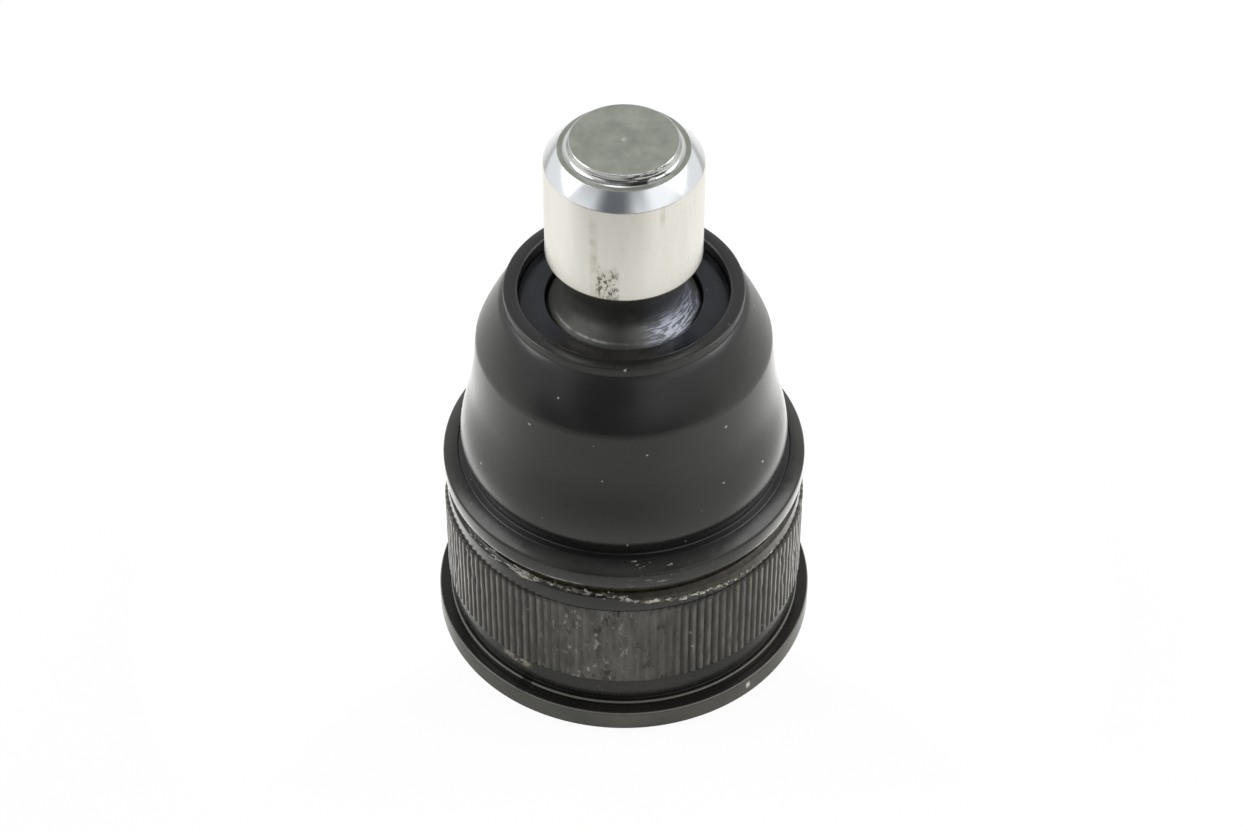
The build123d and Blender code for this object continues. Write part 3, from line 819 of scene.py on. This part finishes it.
def serrated_band():
    """Straight teeth round the body, rubbed low in places, with a lead at both ends."""
    count = 136
    crest_share = 0.3
    core_r = VALLEY_R - 0.46
    lead = 0.3
    rungs = 12
    # Crests are rubbed low at random, and pressed down in front, a little to the left
    rub_scale, rub_onset, rub_depth = 0.55, 0.12, 0.35
    press_turn, press_onset, press_depth = 0.07, 0.88, 1.5
    pitch = 2 * math.pi / count
    flank = pitch * (1 - crest_share) / 2
    corners = [
        (core_r, 0),
        (VALLEY_R, 0),
        (CREST_R, flank),
        (CREST_R, pitch / 2),
        (CREST_R, pitch - flank),
        (VALLEY_R, pitch),
        (core_r, pitch),
    ]
    bm = bmesh.new()
    tooth = bm.faces.new([bm.verts.new((r * math.cos(a), r * math.sin(a), BAND_FOOT)) for r, a in corners])
    around = pitch * (count - 1)
    bmesh.ops.spin(
        bm, geom=[tooth], cent=(0, 0, 0), axis=(0, 0, 1), angle=around, steps=count - 1, use_duplicate=True
    )
    bmesh.ops.remove_doubles(bm, verts=bm.verts, dist=0.002)
    base = upper = bm.faces[:]
    straight = BAND_TOP - BAND_FOOT - 2 * lead
    for level in [BAND_FOOT + lead + straight * i / rungs for i in range(rungs + 1)] + [BAND_TOP]:
        raised = bmesh.ops.extrude_face_region(bm, geom=upper)["geom"]
        if upper is not base:
            bmesh.ops.delete(bm, geom=upper, context="FACES")
        upper = [part for part in raised if isinstance(part, bmesh.types.BMFace)]
        for vert in [part for part in raised if isinstance(part, bmesh.types.BMVert)]:
            vert.co.z = level
    for vert in bm.verts:
        radius = math.hypot(vert.co.x, vert.co.y)
        if radius < VALLEY_R + 0.05:
            continue
        at_end = not BAND_FOOT + lead / 2 < vert.co.z < BAND_TOP - lead / 2
        rubbed = max(0, noise.noise(vert.co * rub_scale) - rub_onset) * rub_depth
        facing = math.cos(math.atan2(vert.co.x, -vert.co.y) + press_turn)
        pressed = max(0, facing - press_onset) * press_depth
        target = VALLEY_R if at_end else CREST_R - rubbed - pressed
        vert.co.xy *= target / radius
    return piece("serrated_band", bm, band_coat(), sharp_deg=20)


def torn_coat():
    """Ragged slivers of dip coat: along the scraped line, and on the land's upper edge to the left."""
    count, count_on_edge = 170, 18
    thickness, proud = 0.05, 0.02
    rng = random.Random(7)
    bm = bmesh.new()
    for index in range(count):
        on_edge = index < count_on_edge
        azimuth = math.radians(rng.uniform(-56, -28) if on_edge else rng.triangular(-26, 60, 12))
        across = LAND_R * math.sin(azimuth)
        share = min(max((across - SCRAPE_DROP_FROM) / (SCRAPE_DROP_TO - SCRAPE_DROP_FROM), 0), 1)
        dropped = (SCRAPE_HIGH - SCRAPE_LOW) * share**2 * (3 - 2 * share)
        sunk = max(0, across - SCRAPE_DROP_TO) * SCRAPE_SINK
        line = SCRAPE_HIGH - dropped - sunk
        height = rng.gauss(21.95, 0.12) if on_edge else line + rng.gauss(0, 0.16)
        length = rng.uniform(0.5, 1.5) if on_edge else rng.triangular(0.15, 1.1, 0.25)
        slimness = 0.15 if on_edge else 0.5
        flake = bmesh.ops.create_circle(bm, cap_ends=True, radius=length / 2, segments=7)["verts"]
        for vert in flake:
            vert.co.x *= rng.uniform(0.6, 1.2)
            vert.co.y *= rng.uniform(0.4, 1.2) * slimness
        lifted = bmesh.ops.extrude_face_region(bm, geom=list(flake[0].link_faces))["geom"]
        top = [part for part in lifted if isinstance(part, bmesh.types.BMVert)]
        bmesh.ops.translate(bm, verts=top, vec=(0, 0, thickness))
        chamfered = max(0, min(0.5, height - LAND_TOP))
        out = Matrix.Translation((0, chamfered - LAND_R - proud, height))
        upright = Matrix.Rotation(math.radians(90), 4, "X")
        lifted_by = Matrix.Rotation(math.radians(rng.uniform(-35, 10)), 4, "X")
        slanted = Matrix.Rotation(math.radians(rng.uniform(-25, 25)), 4, "Z")
        around = Matrix.Rotation(azimuth, 4, "Z")
        bmesh.ops.transform(bm, verts=flake + top, matrix=around @ out @ upright @ lifted_by @ slanted)
    return piece("torn_coat_slivers", bm, torn_film())


def retainer_ring():
    """Pressed sheet ring round the boot's foot, with its upper edge rolled in."""
    _, foot, top = girth("boot_retainer_ring")
    outer, inner, cap_r = 21.7, 20.85, 19.9
    slope = 0.8
    wall = 0.85
    return turned(
        "retainer_ring_pressed",
        [
            (inner, foot, 0.08),
            (outer, foot, 0.28),
            (outer, top - slope, 0.3),
            (cap_r, top, 0.12),
            (cap_r, top - wall, 0.12),
            (inner, top - slope - wall, 0.3),
        ],
        ring_coat(),
    )


def rubber_boot():
    """Foot bead, waist, skirt, waisted cone, shoulder, rim and sealing lip in one moulding."""
    foot_outer, foot, top = girth("dust_boot")
    skirt_r, waisted_r, cone_r = 19.5, 18.2, 17.25
    skirt, waisted, cone = 29.2, 36.0, 43.8
    wall = 1.7
    rim_r, rim_foot = 13.9, top - 1.2
    mouth_r, mouth_foot = 12.23, 48.37
    lip_r, lip_foot = 9.2, 45.2
    inner_top = 26.05
    return turned(
        "rubber_boot",
        [
            (FOOT_R, foot),
            (foot_outer, foot, 0.2),
            (foot_outer, 25.0, 0.2),
            (19.9, 26.6, 0.2),
            (18.9, 26.675, 0.3),
            curve((19.1, 27.5), (19.5, 28.4), (skirt_r, skirt), 8),
            curve((skirt_r, 31.2), (18.7, 33.5), (waisted_r, waisted), 16),
            curve((17.75, 38.2), (17.45, 41.5), (cone_r, cone), 16),
            curve((16.6, 45.7), (15.3, 48.1), (14.35, 49.8), 12),
            (rim_r, rim_foot),
            (rim_r, top, 0.25),
            (12.4, top, 0.15),
            (mouth_r, top - 0.2),
            (mouth_r, mouth_foot),
            (lip_r, mouth_foot, 0.2),
            (lip_r, lip_foot, 0.2),
            (10.9, lip_foot, 0.3),
            (12.65, 46.05, 0.3),
            curve((14.2, 45.0), (15.4, 44.0), (cone_r - wall, 42.95), 8),
            curve((15.9, 40.0), (16.2, 38.0), (waisted_r - wall, waisted), 10),
            curve((17.0, 33.5), (17.8, 31.2), (skirt_r - wall, skirt), 10),
            curve((17.8, 28.4), (17.3, 27.6), (17.2, 27.1), 6),
            (17.2, inner_top),
            (FOOT_R, inner_top),
            (FOOT_R + 0.4, 25.6),
            (FOOT_R + 0.4, 25.2),
            (FOOT_R, 24.8),
        ],
        moulded_rubber(),
    )


def neck_ring():
    """Stiff ring in the boot's mouth, round the stud's seal seat."""
    outer, foot, top = girth("boot_neck_ring")
    inner = PIN_R + 0.08
    return turned(
        "neck_ring_moulded",
        [(inner, foot, 0.1), (outer, foot, 0.1), (outer, top, 0.15), (inner, top, 0.22)],
        neck_ring_nylon(),
    )


def carried_over(node, material):
    """A CAD node that keeps its shape and takes a better material."""
    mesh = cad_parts[node].data
    mesh.materials.clear()
    mesh.materials.append(material)


bpy.context.scene.view_settings.view_transform = "Standard"
camera()
table()
room()

rides(forged_stud(), "stud", "stud_steel", "ball_stud")
rides(housing_body(), "housing_body", "housing_coat", "housing")
rides(serrated_band(), "housing_body", "housing_coat", "housing")
rides(torn_coat(), "housing_body", "housing_coat")
rides(retainer_ring(), "housing_body", "ring_coat", "boot_retainer_ring")
rides(neck_ring(), "boot_top", "neck_ring_plastic", "boot_neck_ring")

boot = rubber_boot()
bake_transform(boot)
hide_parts("dust_boot")

carried_over("cover_plate", cover_coat())
carried_over("preload_spring", spring_steel())
acetal = moulded_acetal()
carried_over("lower_seat", acetal)
carried_over("upper_seat", acetal)
